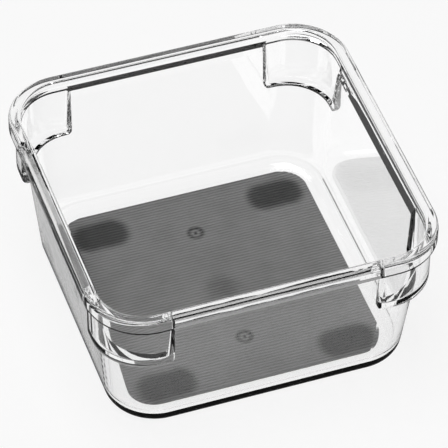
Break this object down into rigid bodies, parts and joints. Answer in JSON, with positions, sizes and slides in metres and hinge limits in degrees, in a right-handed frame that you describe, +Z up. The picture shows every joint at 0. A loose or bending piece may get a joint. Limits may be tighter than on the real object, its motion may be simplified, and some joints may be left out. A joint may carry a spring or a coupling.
{
  "type": "drawer organizer bin",
  "caption": "Square open bin in clear plastic with an outward rim, stepped corner pockets, a ribbed soft liner on its floor and non-slip pads below.",
  "frame": {"origin": "centre of the bin, in the plane that the four pads stand on", "axes": "+Z up through the open mouth, +X along the front side to the right, +Y towards the rear"},
  "size_m": [0.104, 0.104, 0.051],
  "materials": {
    "clear_plastic": "clear injection-moulded acrylic, polished",
    "liner": "grey translucent soft-grip elastomer, finely ridged",
    "pads": "grey soft-grip elastomer, matt"
  },
  "bodies": {
    "root": {"tray": "clear_plastic", "floor_liner": "liner", "pad_rear_right": "pads", "pad_front_right": "pads", "pad_rear_left": "pads", "pad_front_left": "pads"}
  },
  "joints": []
}
